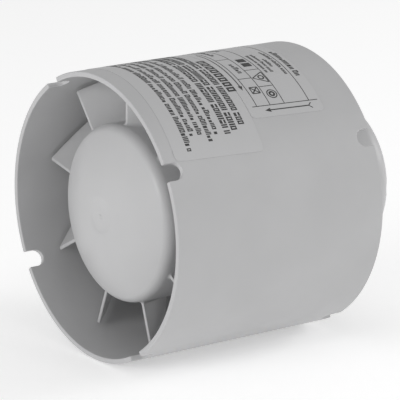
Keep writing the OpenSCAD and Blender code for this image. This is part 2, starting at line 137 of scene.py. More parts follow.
LABEL_THICK = 0.1
LABEL_CORNER = 1.8
LABEL_SKEW = 2.4
LABEL_GAP = 0.005
INK_BASE = LABEL_THICK + 0.004
INK_TOP = LABEL_THICK + 0.018
HEADING_MARKS = 8
HEADING_PITCH = 2.75

# Each label's first and last clock, then its first and last depth.
NOTICE_BOX = (-26.0, 57.5, 6.2, 41.1)
RATING_BOX = (-26.0, 45.3, 41.6, 71.3)

# Metres and watts. Each light is a name, an azimuth, an elevation and its power.
SOFT_BOX = (0.5, 0.45)
LIGHT_DISTANCE = 1.3
LIGHTS = [
    ("front", 5, 15, 4.6),
    ("front_right", 54, 20, 0.5),
    ("right_top", 90, 55, 1.1),
    ("rear", 160, 20, 4.7),
]
ROOM_LIGHT = 0.52
FLOOR_GLOW = 0.3
FLOOR_HALF = 6.0
FLOOR_GAP = 0.0002

# The camera's place, in casing radii, the way it looks, and its lens and sensor in millimetres.
CAMERA_AT = (15.334, -11.004, 5.038)
CAMERA_AIM = (-0.7841, 0.5645, -0.2581)
CAMERA_LENS = 253.95
CAMERA_SENSOR = 36


# ------------------------------------------------------------------------ geometry tools


def spot(r, clock, depth):
    """A point at a radius, clock angle and depth."""
    a = math.radians(clock)
    return Vector((r * math.sin(a), depth - CASING_LEN / 2, r * math.cos(a)))


def add_object(name, data):
    """A new object in the scene, round a mesh, a light or a camera."""
    obj = bpy.data.objects.new(name, data)
    bpy.context.scene.collection.objects.link(obj)
    return obj


def make_piece(name, body, verts, faces, materials, sharp=32, weighted=True):
    """An object from millimetre points and faces that rides on a body."""
    mesh = bpy.data.meshes.new(name)
    mesh.from_pydata([v * MM for v in verts], [], faces)
    bm = bmesh.new()
    bm.from_mesh(mesh)
    bmesh.ops.remove_doubles(bm, verts=bm.verts, dist=1e-7)
    stray = [edge for edge in bm.edges if not edge.link_faces]
    bmesh.ops.delete(bm, geom=stray, context="EDGES")
    bmesh.ops.recalc_face_normals(bm, faces=bm.faces)
    bm.to_mesh(mesh)
    bm.free()
    obj = add_object(name, mesh)
    for polygon in mesh.polygons:
        polygon.use_smooth = True
    mesh.set_sharp_from_angle(angle=math.radians(sharp))
    for material in materials:
        mesh.materials.append(material)
    if weighted:
        obj.modifiers.new("normals", "WEIGHTED_NORMAL").keep_sharp = True
    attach(obj, body)
    return obj


def rounded(corners, steps=5):
    """A closed outline from corners (x, y, radius), with an arc where the radius isn't 0."""
    outline = []
    count = len(corners)
    for i, (x, y, radius) in enumerate(corners):
        here = Vector((x, y))
        back = Vector(corners[i - 1][:2]) - here
        ahead = Vector(corners[(i + 1) % count][:2]) - here
        if radius == 0:
            outline.append(here)
            continue
        half = back.angle(ahead) / 2
        reach = radius / math.tan(half)
        centre = here + (back.normalized() + ahead.normalized()).normalized() * radius / math.sin(half)
        start = here + back.normalized() * reach - centre
        end = here + ahead.normalized() * reach - centre
        turn = start.angle_signed(end)
        for k in range(steps + 1):
            outline.append(centre + Matrix.Rotation(-turn * k / steps, 2) @ start)
    return outline


def arc(x, y, r, start, end, steps):
    """Points of an arc, by centre, radius and angles in degrees."""
    points = []
    for k in range(steps + 1):
        a = math.radians(start + (end - start) * k / steps)
        points.append(Vector((x + r * math.cos(a), y + r * math.sin(a))))
    return points


def skin_faces(steps, n, closed=True):
    """Faces round a turned shape with n points in its outline, which is closed or runs end to end."""
    faces = []
    for i in range(steps):
        here = i * n
        ahead = (i + 1) % steps * n
        for k in range(n if closed else n - 1):
            after = (k + 1) % n
            faces.append((here + k, here + after, ahead + after, ahead + k))
    return faces


def revolve(outline, steps=192):
    """A closed outline of (radius, depth) turned round the fan's axis."""
    verts = [spot(p[0], 360 * i / steps, p[1]) for i in range(steps) for p in outline]
    return verts, skin_faces(steps, len(outline))


def revolve_beside(x, outline, steps, closed=True):
    """An outline of (radius, depth) turned round a line beside the fan's axis."""
    verts = []
    for i in range(steps):
        a = 2 * math.pi * i / steps
        verts += [Vector((x + r * math.cos(a), d - CASING_LEN / 2, r * math.sin(a))) for r, d in outline]
    return verts, skin_faces(steps, len(outline), closed)


def loft(rings):
    """A closed skin through rings of points, with flat ends."""
    n = len(rings[0])
    verts = [p for ring in rings for p in ring]
    faces = [tuple(range(n)), tuple((len(rings) - 1) * n + k for k in range(n))]
    for i in range(len(rings) - 1):
        for k in range(n):
            a = i * n + k
            b = i * n + (k + 1) % n
            faces.append((a, b, b + n, a + n))
    return verts, faces


def join(*parts):
    """Several (verts, faces) as one."""
    verts, faces = [], []
    for v, f in parts:
        faces += [tuple(k + len(verts) for k in face) for face in f]
        verts += v
    return verts, faces


def turned(part, angle):
    """A part turned clockwise about the fan's axis."""
    turn = Matrix.Rotation(math.radians(angle), 3, "Y")
    return [turn @ v for v in part[0]], part[1]


def offset_loop(loop, amount, closed):
    """A loop moved sideways by an amount, along the mean of its two edges' normals."""
    out = []
    n = len(loop)
    for i, p in enumerate(loop):
        before = loop[i - 1] if closed or i > 0 else p
        after = loop[(i + 1) % n] if closed or i < n - 1 else p
        n1 = side_normal(before, p)
        n2 = side_normal(p, after)
        if n1 is None:
            n1 = n2
        if n2 is None:
            n2 = n1
        mean = (n1 + n2).normalized()
        out.append(p + mean * amount / max(0.5, mean.dot(n1)))
    return out


def side_normal(a, b):
    """The unit normal to the left of the way from a to b, or None where they meet."""
    d = b - a
    if d.length < 1e-9:
        return None
    return Vector((-d.y, d.x)).normalized()


def fill(loop, inner_points):
    """Triangles inside a closed loop. Returns points, triangles and the loop's new numbers."""
    n = len(loop)
    points = [Vector(p) for p in loop] + [Vector(p) for p in inner_points]
    coords, _, faces, origins, _, _ = delaunay_2d_cdt(points, [], [list(range(n))], 1, 1e-6)
    renamed = {}
    for new, olds in enumerate(origins):
        for old in olds:
            renamed[old] = new
    return coords, faces, [renamed[k] for k in range(n)]


# --------------------------------------------------------------------------- materials


def new_material(name):
    material = bpy.data.materials.new(name)
    material.use_nodes = True
    nodes = material.node_tree.nodes
    return material, nodes, material.node_tree.links, nodes["Principled BSDF"]


def add_noise(nodes, links, scale, detail, coords, rough=0.5):
    noise = nodes.new("ShaderNodeTexNoise")
    noise.inputs["Scale"].default_value = scale
    noise.inputs["Detail"].default_value = detail
    noise.inputs["Roughness"].default_value = rough
    links.new(coords, noise.inputs["Vector"])
    return noise.outputs["Fac"]


def add_ramp(nodes, links, value, low, high, colour_low, colour_high):
    """A value turned into a colour between two, as it goes from low to high."""
    ramp = nodes.new("ShaderNodeValToRGB")
    ramp.color_ramp.elements[0].position = low
    ramp.color_ramp.elements[1].position = high
    ramp.color_ramp.elements[0].color = (*colour_low, 1)
    ramp.color_ramp.elements[1].color = (*colour_high, 1)
    links.new(value, ramp.inputs["Fac"])
    return ramp.outputs["Color"]


def add_bump(nodes, links, height, strength, distance, shader, under=None):
    bump = nodes.new("ShaderNodeBump")
    bump.inputs["Strength"].default_value = strength
    bump.inputs["Distance"].default_value = distance
    links.new(height, bump.inputs["Height"])
    if under is not None:
        links.new(under, bump.inputs["Normal"])
    links.new(bump.outputs["Normal"], shader.inputs["Normal"])
    return bump.outputs["Normal"]


def scaled(colour, share):
    return tuple(c * share for c in colour)


def moulded_plastic(name, colour, rough=0.42, grain=0.5, variation=0.03, specular=0.5):
    """Moulded plastic: a fine spark-eroded grain, faint flow clouds and uneven gloss."""
    material, nodes, links, shader = new_material(name)
    coords = nodes.new("ShaderNodeTexCoord").outputs["Object"]
    clouds = add_noise(nodes, links, 38, 3, coords)
    darker, lighter = scaled(colour, 1 - variation), scaled(colour, 1 + variation)
    links.new(add_ramp(nodes, links, clouds, 0.3, 0.7, darker, lighter), shader.inputs["Base Color"])
    patches = add_noise(nodes, links, 95, 4, coords)
    links.new(
        add_ramp(nodes, links, patches, 0.25, 0.75, (rough - 0.05,) * 3, (rough + 0.05,) * 3),
        shader.inputs["Roughness"],
    )
    shader.inputs["Specular IOR Level"].default_value = specular
    fine = add_noise(nodes, links, 2600, 2, coords)
    waves = add_noise(nodes, links, 60, 2, coords)
    under = add_bump(nodes, links, waves, 0.25, 0.00006, shader)
    add_bump(nodes, links, fine, grain, 0.00001, shader, under)
    return material


def soft_rubber(name, colour):
    """Matt rubber with a powdery bloom and a rough skin."""
    material, nodes, links, shader = new_material(name)
    coords = nodes.new("ShaderNodeTexCoord").outputs["Object"]
    bloom = add_noise(nodes, links, 220, 5, coords)
    links.new(
        add_ramp(nodes, links, bloom, 0.35, 0.75, colour, tuple(c + 0.035 for c in colour)),
        shader.inputs["Base Color"],
    )
    links.new(
        add_ramp(nodes, links, bloom, 0.3, 0.8, (0.62,) * 3, (0.82,) * 3), shader.inputs["Roughness"]
    )
    add_bump(nodes, links, add_noise(nodes, links, 1800, 3, coords), 0.5, 0.00002, shader)
    return material


def worked_metal(name, colour, rough=0.32, stretch=(1, 12, 1), scale=300):
    """Metal with fine drawn or turned lines and slight stains."""
    material, nodes, links, shader = new_material(name)
    shader.inputs["Metallic"].default_value = 1.0
    coords = nodes.new("ShaderNodeTexCoord").outputs["Object"]
    mapping = nodes.new("ShaderNodeMapping")
    mapping.inputs["Scale"].default_value = stretch
    links.new(coords, mapping.inputs["Vector"])
    lines = add_noise(nodes, links, scale, 4, mapping.outputs["Vector"])
    stains = add_noise(nodes, links, 70, 4, coords)
    links.new(
        add_ramp(nodes, links, stains, 0.3, 0.75, colour, scaled(colour, 0.8)), shader.inputs["Base Color"]
    )
    links.new(
        add_ramp(nodes, links, lines, 0.3, 0.7, (rough - 0.08,) * 3, (rough + 0.12,) * 3),
        shader.inputs["Roughness"],
    )
    add_bump(nodes, links, lines, 0.3, 0.00002, shader)
    return material


def laminations(name):
    """A stack of steel sheets, seen as dark and light lines across the axis about 1.6 mm apart."""
    material, nodes, links, shader = new_material(name)
    shader.inputs["Metallic"].default_value = 0.9
    shader.inputs["Roughness"].default_value = 0.45
    coords = nodes.new("ShaderNodeTexCoord").outputs["Object"]
    wave = nodes.new("ShaderNodeTexWave")
    wave.bands_direction = "Y"
    wave.inputs["Scale"].default_value = 200
    wave.inputs["Distortion"].default_value = 0.4
    links.new(coords, wave.inputs["Vector"])
    links.new(
        add_ramp(nodes, links, wave.outputs["Fac"], 0.2, 0.8, (0.06, 0.065, 0.08), (0.21, 0.22, 0.25)),
        shader.inputs["Base Color"],
    )
    add_bump(nodes, links, wave.outputs["Fac"], 0.6, 0.00008, shader)
    return material


def wound_copper(name):
    """Enamelled wire, wound round the bobbin."""
    material, nodes, links, shader = new_material(name)
    shader.inputs["Metallic"].default_value = 0.8
    shader.inputs["Coat Weight"].default_value = 0.6
    shader.inputs["Roughness"].default_value = 0.35
    coords = nodes.new("ShaderNodeTexCoord").outputs["Object"]
    wave = nodes.new("ShaderNodeTexWave")
    wave.bands_direction = "X"
    wave.inputs["Scale"].default_value = 900
    wave.inputs["Distortion"].default_value = 0.6
    links.new(coords, wave.inputs["Vector"])
    links.new(
        add_ramp(nodes, links, wave.outputs["Fac"], 0.1, 0.9, (0.18, 0.05, 0.02), (0.62, 0.25, 0.11)),
        shader.inputs["Base Color"],
    )
    add_bump(nodes, links, wave.outputs["Fac"], 0.8, 0.0001, shader)
    return material


def felt_pad(name):
    """Oiled felt: matted fibres."""
    material, nodes, links, shader = new_material(name)
    shader.inputs["Sheen Weight"].default_value = 0.4
    shader.inputs["Roughness"].default_value = 0.9
    coords = nodes.new("ShaderNodeTexCoord").outputs["Object"]
    fibres = add_noise(nodes, links, 1500, 6, coords, 0.7)
    links.new(
        add_ramp(nodes, links, fibres, 0.3, 0.7, (0.28, 0.22, 0.13), (0.62, 0.55, 0.4)),
        shader.inputs["Base Color"],
    )
    add_bump(nodes, links, fibres, 0.8, 0.00015, shader)
    return material


def printed_ink(name):
    """Flat grey-black print, a little uneven in density."""
    material, nodes, links, shader = new_material(name)
    coords = nodes.new("ShaderNodeTexCoord").outputs["Object"]
    density = add_noise(nodes, links, 700, 3, coords)
    links.new(
        add_ramp(nodes, links, density, 0.3, 0.75, (0.018,) * 3, (0.05,) * 3), shader.inputs["Base Color"]
    )
    shader.inputs["Roughness"].default_value = 0.5
    add_bump(nodes, links, density, 0.2, 0.00001, shader)
    return material


abs_grey = moulded_plastic("abs_grey", (0.475, 0.475, 0.48), rough=0.4)
abs_impeller = moulded_plastic("abs_impeller", (0.5, 0.5, 0.505), rough=0.4)
label_film = moulded_plastic("label_film", (0.5, 0.5, 0.505), rough=0.34, grain=0.15, variation=0.015)
label_ink = printed_ink("label_ink")
black_rubber = soft_rubber("black_rubber", (0.025, 0.025, 0.028))
natural_nylon = moulded_plastic("natural_nylon", (0.66, 0.6, 0.46), rough=0.5)
white_nylon = moulded_plastic("white_nylon", (0.74, 0.73, 0.7), rough=0.45)
wire_skin = moulded_plastic("wire_skin", (0.03, 0.07, 0.28), rough=0.4)
ground_steel = worked_metal("ground_steel", (0.62, 0.63, 0.65), rough=0.22)
plated_steel = worked_metal("plated_steel", (0.55, 0.56, 0.58), rough=0.34, stretch=(1, 1, 1))
spring_steel = worked_metal("spring_steel", (0.14, 0.16, 0.2), rough=0.36)
cast_alloy = worked_metal("cast_alloy", (0.5, 0.51, 0.53), rough=0.5, stretch=(1, 1, 1), scale=900)
brass = worked_metal("brass", (0.68, 0.48, 0.18), rough=0.3)
bronze = worked_metal("bronze", (0.42, 0.26, 0.12), rough=0.55, stretch=(1, 1, 1), scale=1500)
steel_sheets = laminations("steel_sheets")
copper = wound_copper("copper")
felt = felt_pad("felt")

CAD_LOOKS = {
    "motor_shaft": ground_steel,
    "hub_clip": spring_steel,
    "slinger_disc": black_rubber,
    "thrust_washers": natural_nylon,
    "rotor_core": steel_sheets,
    "rotor_end_rings": cast_alloy,
    "stator_core": steel_sheets,
    "shading_rings": copper,
    "coil_bobbin": natural_nylon,
    "coil_winding": copper,
    "thermal_fuse": white_nylon,
    "lead_wires": wire_skin,
    "front_bearing_bracket": cast_alloy,
    "rear_bearing_bracket": cast_alloy,
    "front_bearing": bronze,
    "rear_bearing": bronze,
    "oil_felts": felt,
    "bearing_retainers": plated_steel,
    "motor_screws": plated_steel,
    "vibration_bushes": black_rubber,
    "terminal_plate": natural_nylon,
    "terminal_block": white_nylon,
    "terminal_clamps": brass,
    "terminal_screws": plated_steel,
    "cable_clamp": natural_nylon,
    "clamp_screws": plated_steel,
}


def dress_cad_nodes():
    for name, material in CAD_LOOKS.items():
        mesh = frame["nodes"][name].data
        mesh.materials.clear()
        mesh.materials.append(material)


# ------------------------------------------------------------------------------ casing


def rim_line():
    """The rim's line once round, as (distance round, depth), dipping into each notch."""
    half = NOTCH_W / 2
    line = []
    pitch = 1.5
    last = 0.0
    for clock in NOTCH_CLOCKS:
        middle = AROUND * clock / 360
        near = middle - half - NOTCH_CORNER
        count = max(1, round((near - last) / pitch))
        line += [Vector((last + (near - last) * k / count, 0)) for k in range(count)]
        line += arc(near, NOTCH_CORNER, NOTCH_CORNER, -90, 0, 5)
        line += arc(middle, NOTCH_DEPTH - half, half, 180, 0, 18)
        line += arc(middle + half + NOTCH_CORNER, NOTCH_CORNER, NOTCH_CORNER, 180, 270, 5)
        last = line.pop().x
    count = round((AROUND - last) / pitch)
    line += [Vector((last + (AROUND - last) * k / count, 0)) for k in range(count + 1)]
    return line


def mirrored_rim(line):
    return [Vector((p.x, CASING_LEN - p.y)) for p in line]


def casing_skin(front, rear, radius):
    """One skin of the casing, between its rims' lines."""
    columns, rows = 220, 9
    first = NOTCH_DEPTH + 2
    span = CASING_LEN - 2 * NOTCH_DEPTH - 4
    depths = [first + span * k / rows for k in range(rows + 1)]
    seam = [Vector((AROUND, d)) for d in depths]
    loop = front + seam + list(reversed(rear)) + [Vector((0, d)) for d in reversed(depths)]
    inner = [Vector((AROUND * k / columns, d)) for k in range(1, columns) for d in depths]
    coords, faces, _ = fill(loop, inner)
    return [spot(radius, 360 * p.x / AROUND, p.y) for p in coords], faces


def rim_band(line, outward):
    """Loops that round the rim's edge over, from the outer skin to the inner one."""
    loops = []
    for centre_r, start, end in ((CASING_R - RIM_ROUND, 90, 0), (BORE_R + RIM_ROUND, 0, -90)):
        for k in range(5):
            a = math.radians(start + (end - start) * k / 4)
            r = centre_r + RIM_ROUND * math.sin(a)
            moved = offset_loop(line, outward * RIM_ROUND * (1 - math.cos(a)), False)
            loops.append([spot(r, 360 * p.x / AROUND, p.y) for p in moved])
    return loops


def make_casing():
    front = rim_line()
    rear = mirrored_rim(front)
    inset_front = offset_loop(front, RIM_ROUND, False)
    inset_rear = offset_loop(rear, -RIM_ROUND, False)
    parts = [casing_skin(inset_front, inset_rear, radius) for radius in (CASING_R, BORE_R)]
    for line, outward in ((front, 1), (rear, -1)):
        loops = rim_band(line, outward)
        n = len(line)
        faces = []
        for i in range(len(loops) - 1):
            for k in range(n - 1):
                a = i * n + k
                faces.append((a, a + 1, a + 1 + n, a + n))
        parts.append(([p for loop in loops for p in loop], faces))
    verts, faces = join(*parts)
    casing = make_piece("casing_shell", HOUSING, verts, faces, [abs_grey], sharp=60)
    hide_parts("casing")


# ---------------------------------------------------------------------------- impeller


def hub_outline():
    """The hub's section: a domed front that rounds over into the skirt, then the hollow behind it."""
    dome = HUB_FRONT + CROWN_R
    edge_r = HUB_R - HUB_ROUND
    edge_angle = math.degrees(math.asin(edge_r / (CROWN_R - HUB_ROUND)))
    edge_depth = dome - (CROWN_R - HUB_ROUND) * math.cos(math.radians(edge_angle))
    mark_angle = math.degrees(math.asin((MARK_R + 0.15) / CROWN_R))
    floor = HUB_FRONT + MARK_DEPTH

    # The shallow round mark, with a small raised dot at its middle.
    front = [Vector((0, floor - 0.25)), Vector((0.6, floor - 0.25)), Vector((0.85, floor - 0.12))]
    front += [Vector((0.95, floor)), Vector((2.5, floor)), Vector((MARK_R - 0.25, floor))]
    front += [Vector((MARK_R - 0.06, floor - 0.06))]
    front += arc(0, dome, CROWN_R, mark_angle - 90, edge_angle - 90, 12)
    front += arc(edge_r, edge_depth, HUB_ROUND, edge_angle - 85, 0, 14)
    skirt = [Vector((HUB_R, d)) for d in (BLADE_DEPTH, 20, 28, HUB_END - 0.4)]
    lip = [Vector((HUB_R - 0.15, HUB_END - 0.1)), Vector((HUB_R - 0.4, HUB_END))]
    lip += [Vector((HUB_R - HUB_WALL + 0.2, HUB_END)), Vector((HUB_R - HUB_WALL, HUB_END - 0.3))]
    inner = arc(edge_r, edge_depth, HUB_ROUND - HUB_WALL, 0, edge_angle - 90, 8)
    back = arc(0, dome, CROWN_R - HUB_WALL, edge_angle - 92, -84, 8)
    boss = [Vector((BOSS_R, HUB_FRONT + 3)), Vector((BOSS_R, BOSS_END - 0.4))]
    boss += [Vector((BOSS_R - 0.4, BOSS_END)), Vector((SHAFT_HOLE_R, BOSS_END))]
    boss += [Vector((SHAFT_HOLE_R, SHAFT_FRONT)), Vector((0, SHAFT_FRONT))]
    return front + skirt + lip + inner + back + boss


def blade_angle(u):
    """How far round the blade has come at a share u of its length along the axis."""
    return BLADE_TURN * (u * (1 - BLADE_CAMBER) + BLADE_CAMBER * u * u)


def blade_section(r, swell):
    """The blade's outline at a radius, made thicker all round by swell, as points in space."""
    steps = 14
    slope = math.atan(BLADE_LEN / (math.radians(BLADE_TURN) * r))
    sides = []
    for side in (-1, 1):
        points = []
        for i in range(steps + 1):
            u = i / steps
            thick = BLADE_EDGE + (BLADE_THICK - BLADE_EDGE) * math.sin(math.pi * u)
            along = r * math.radians(blade_angle(u)) + side * thick / math.sin(slope) / 2
            points.append((along, BLADE_DEPTH + u * BLADE_LEN))
        sides.append(points)
    corners = [(x, y, 0) for x, y in sides[0]] + [(x, y, 0) for x, y in reversed(sides[1])]
    n = len(corners)
    for index, radius in ((0, 0.28), (steps, 0.3), (steps + 1, 0.3), (n - 1, 0.28)):
        corners[index] = (*corners[index][:2], radius)
    outline = offset_loop(rounded(corners, 4), -swell * outline_sign(corners), True)
    return [spot(r, math.degrees(p.x / r), p.y) for p in outline]


def outline_sign(corners):
    """1 where the outline runs anticlockwise, so that its inside is on the left, else -1."""
    area = 0
    for i, (x, y, _) in enumerate(corners):
        before = corners[i - 1]
        area += before[0] * y - x * before[1]
    return 1 if area > 0 else -1


def make_blade():
    """One blade, from inside the hub's skin to its tip, with a fillet at the root."""
    stations = [(HUB_R - HUB_OVERLAP, BLADE_FILLET)]
    for k in range(7):
        a = math.radians(90 * k / 6)
        stations.append((HUB_R + BLADE_FILLET * (1 - math.cos(a)), BLADE_FILLET * (1 - math.sin(a))))
    root = HUB_R + BLADE_FILLET
    tip_round = 0.25
    stations += [(root + (BLADE_TIP_R - tip_round - root) * k / 8, 0) for k in range(1, 9)]
    for k in range(1, 4):
        a = math.radians(90 * k / 3)
        stations.append((BLADE_TIP_R - tip_round * (1 - math.sin(a)), -tip_round * (1 - math.cos(a))))
    return loft([blade_section(r, swell) for r, swell in stations])


def make_impeller():
    blade = make_blade()
    parts = [revolve(hub_outline(), 256)]
    parts += [turned(blade, BLADE_CLOCK + 360 / BLADES * i) for i in range(BLADES)]
    verts, faces = join(*parts)
    impeller = make_piece("impeller_moulding", ROTATING, verts, faces, [abs_impeller], sharp=40)
    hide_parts("impeller_hub", "impeller_blades")


# ------------------------------------------------------------------------ motor frame


def rib_section(r, front, rear, swell):
    """A rib's cross-section at a radius: a flat bar with round ends, standing along the axis."""
    half = RIB_THICK / 2 + swell
    corners = arc(0, rear - RIB_THICK / 2, half, 0, 180, 8)
    corners += arc(0, front + RIB_THICK / 2, half, 180, 360, 8)
    return [Vector((p.x, p.y - CASING_LEN / 2, math.sqrt(r * r - p.x * p.x))) for p in corners]


def make_rib():
    """One rib, from the cup to the ring, flaring where it meets each."""
    reach = BORE_R - RING_WALL
    flare = RIB_FLARE
    stations = []
    for k in range(6):
        a = math.radians(90 * k / 5)
        stations.append((POD_R + flare * (1 - math.cos(a)), flare * (1 - math.sin(a))))
    for k in range(1, 6):
        stations.append((POD_R + flare + (reach - POD_R - 2 * flare) * k / 6, 0))
    for k in range(6):
        a = math.radians(90 * k / 5)
        stations.append((reach - flare * (1 - math.sin(a)), flare * (1 - math.cos(a))))
    stations = [(POD_R - 0.6, flare), *stations, (reach + 0.5, flare)]
    rings = []
    for r, swell in stations:
        share = (r - POD_R) / (reach - POD_R)
        rings.append(rib_section(r, RIB_FRONT + 4 * share, RIB_REAR - 7 * share, swell))
    return loft(rings)


def cup_outline():
    inner = POD_R - POD_WALL
    return rounded(
        [
            (CUP_HOLE_R, POD_FRONT, 0.3),
            (POD_R, POD_FRONT, CUP_ROUND),
            (POD_R, CASING_LEN, 0.2),
            (inner, CASING_LEN, 0.2),
            (inner, POD_FRONT + POD_WALL, CUP_ROUND - POD_WALL),
            (CUP_HOLE_R, POD_FRONT + POD_WALL, 0.3),
        ],
        8,
    )


def ring_outline():
    rear = RING_FRONT + RING_LEN
    outer = BORE_R - 0.02
    inner = BORE_R - RING_WALL
    return rounded(
        [(outer, RING_FRONT, 0.1), (outer, rear, 0.1), (inner, rear, 0.7), (inner, RING_FRONT, 0.7)], 5
    )


def post(x, r, start, end, hole):
    """A hollow post along the axis, beside it."""
    outline = [(hole, start + 1), (r, start + 1), (r, end - 0.3), (r - 0.3, end), (hole, end)]
    return revolve_beside(x, outline, 40)


def make_motor_frame():
    rib = make_rib()
    parts = [revolve(cup_outline()), revolve(ring_outline())]
    parts += [turned(rib, clock) for clock in RIB_CLOCKS]
    for side in (-1, 1):
        parts.append(post(side * MOTOR_SCREW_X, POST_R, POD_FRONT, MOTOR_POST_END, SCREW_R))
        parts.append(post(side * POST_X, POST_R, COVER_POST_FRONT, CASING_LEN - 0.1, SCREW_R))
    verts, faces = join(*parts)
    motor_frame = make_piece("motor_frame_moulding", HOUSING, verts, faces, [abs_grey], sharp=35)
    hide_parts("motor_frame")


# ------------------------------------------------------------------- cover and fittings


def cover_outline():
    inner = POD_R - POD_WALL
    centre = POD_R - POD_ROUND
    depth = POD_END - POD_ROUND
    outer = arc(centre, depth, POD_ROUND, 0, 90, 14)
    inside = arc(centre, depth, POD_ROUND - POD_WALL, 90, 0, 10)
    start = [Vector((inner, COVER_FRONT)), Vector((POD_R - 0.25, COVER_FRONT))]
    start.append(Vector((POD_R, COVER_FRONT + 0.25)))
    crown = [Vector((r, POD_END)) for r in (12, 6, 0)]
    under = [Vector((r, POD_END - POD_WALL)) for r in (0, 6, 12)]
    return start + outer + crown + under + inside


def cutter(name, verts, faces):
    """An object that is cut out of a piece and then removed."""
    mesh = bpy.data.meshes.new(name)
    mesh.from_pydata([v * MM for v in verts], [], faces)
    bm = bmesh.new()
    bm.from_mesh(mesh)
    bmesh.ops.recalc_face_normals(bm, faces=bm.faces)
    bm.to_mesh(mesh)
    bm.free()
    return add_object(name, mesh)


def rod(centre, direction, radius, length, steps=48):
    """A plain round bar as a cutter's points: from centre, along a direction."""
    aim = Vector(direction).normalized()
    turn = aim.to_track_quat("Z", "Y")
    rings = []
    for z in (0, length):
        ring = []
        for k in range(steps):
            a = 2 * math.pi * k / steps
            ring.append(centre + turn @ Vector((radius * math.cos(a), radius * math.sin(a), z)))
        rings.append(ring)
    return loft(rings)


def cut(obj, *shapes):
    """Cuts shapes out of an object and applies the result."""
    for k, (verts, faces) in enumerate(shapes):
        tool = cutter(f"cutter_{k}", verts, faces)
        modifier = obj.modifiers.new("cut", "BOOLEAN")
        modifier.operation = "DIFFERENCE"
        modifier.solver = "EXACT"
        modifier.object = tool
        bake(obj)
        bpy.data.objects.remove(tool)


def bake(obj):
    """Applies an object's modifiers to its mesh."""
    bpy.context.view_layer.update()
    graph = bpy.context.evaluated_depsgraph_get()
    done = bpy.data.meshes.new_from_object(obj.evaluated_get(graph))
    obj.modifiers.clear()
    old = obj.data
    obj.data = done
    bpy.data.meshes.remove(old)


def make_cover():
    verts, faces = revolve(cover_outline(), 160)
    cover = make_piece("terminal_cover_shell", HOUSING, verts, faces, [abs_grey], weighted=False)
    along = Vector((0, 1, 0))
    shapes = []
    for side in (-1, 1):
        seat = Vector((side * POST_X, HEAD_SEAT - 0.4 - CASING_LEN / 2, 0))
        shapes.append(rod(seat, along, HEAD_R + 0.35, 20))
    direction = spot(1, GROMMET_CLOCK, CASING_LEN / 2)
    shapes.append(rod(spot(POD_R - 4, GROMMET_CLOCK, GROMMET_DEPTH), direction, GROMMET_NECK_R + 0.05, 8))
    cut(cover, *shapes)
    soften(cover, 0.35)
    posts = [hollow_post(side * POST_X) for side in (-1, 1)]
    sleeves = make_piece("cover_screw_sleeves", HOUSING, *join(*posts), [abs_grey])
    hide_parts("terminal_cover")


def soften(obj, width):
    """Rounds an object's sharp edges over."""
    bevel = obj.modifiers.new("soft_edges", "BEVEL")
    bevel.width = width * MM
    bevel.segments = 3
    bevel.limit_method = "ANGLE"
    bevel.angle_limit = math.radians(40)
    bevel.use_clamp_overlap = True
    bake(obj)
    bm = bmesh.new()
    bm.from_mesh(obj.data)
    bmesh.ops.dissolve_degenerate(bm, dist=1e-6, edges=bm.edges)
    bm.to_mesh(obj.data)
    bm.free()
    obj.data.set_sharp_from_angle(angle=math.radians(40))
    obj.modifiers.new("normals", "WEIGHTED_NORMAL").keep_sharp = True


def hollow_post(x):
    """The sleeve inside the cover that a cover screw passes through."""
    front = COVER_FRONT + 0.8
    rear = HEAD_SEAT + 3.2
    hole, well = SLEEVE_HOLE_R, SLEEVE_WELL_R
    outline = [(hole, front), (POST_R, front), (POST_R, rear), (well, rear)]
    outline += [(well, HEAD_SEAT + 0.15), (well - 0.16, HEAD_SEAT), (hole + 0.15, HEAD_SEAT)]
    outline += [(hole, HEAD_SEAT - 0.15)]
    return revolve_beside(x, outline, 48)


def make_gasket():
    outer = POD_R + 0.12
    inner = POD_R - POD_WALL
    outline = rounded(
        [
            (inner, CASING_LEN + 0.01, 0.15),
            (outer, CASING_LEN + 0.01, 0.3),
            (outer, COVER_FRONT - 0.01, 0.3),
            (inner, COVER_FRONT - 0.01, 0.15),
        ],
        4,
    )
    gasket = make_piece("cover_gasket_ring", HOUSING, *revolve(outline), [black_rubber])
    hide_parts("cover_gasket")


def make_grommet():
    """A ribbed rubber sleeve, turned round its own line, which points away from the axis."""
    inside = POD_R - POD_WALL - 2.2
    end = POD_R + GROMMET_LEN
    hole, neck, flange = GROMMET_HOLE_R, GROMMET_NECK_R, GROMMET_FLANGE_R
    outline = [(hole, inside + 0.3), (hole + 0.3, inside), (flange - 0.3, inside)]
    outline += [(flange, inside + 0.3), (flange, inside + 1.3), (flange - 0.2, inside + 1.5)]
    outline += [(neck, inside + 1.5), (neck, POD_R), (flange - 0.2, POD_R), (flange, POD_R + 0.2)]
    outline += [(flange, POD_R + 1.5), (flange - 0.3, POD_R + 1.9)]
    ribs = 4
    start = POD_R + 2.3
    pitch = (end - 0.9 - start) / ribs
    for k in range(ribs):
        base = start + pitch * k
        taper = GROMMET_RIB_R - 0.14 * k
        outline += [(taper - 0.45, base), (taper - 0.45, base + pitch * 0.3)]
        outline += [(taper - 0.1, base + pitch * 0.4), (taper, base + pitch * 0.55)]
        outline += [(taper, base + pitch * 0.8), (taper - 0.1, base + pitch * 0.95)]
    outline += [(neck, end - 0.5), (neck - 0.15, end - 0.1), (neck - 0.4, end)]
    outline += [(hole + 0.2, end), (hole, end - 0.2)]
    steps = 72
    direction = spot(1, GROMMET_CLOCK, CASING_LEN / 2)
    across = Vector((0, 1, 0))
    other = direction.cross(across)
    base = Vector((0, GROMMET_DEPTH - CASING_LEN / 2, 0))
    verts = []
    for i in range(steps):
        a = 2 * math.pi * i / steps
        side = across * math.cos(a) + other * math.sin(a)
        verts += [base + direction * along + side * r for r, along in outline]
    faces = skin_faces(steps, len(outline))
    grommet = make_piece("cable_grommet_sleeve", HOUSING, verts, faces, [black_rubber], sharp=50)
    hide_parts("cable_grommet")


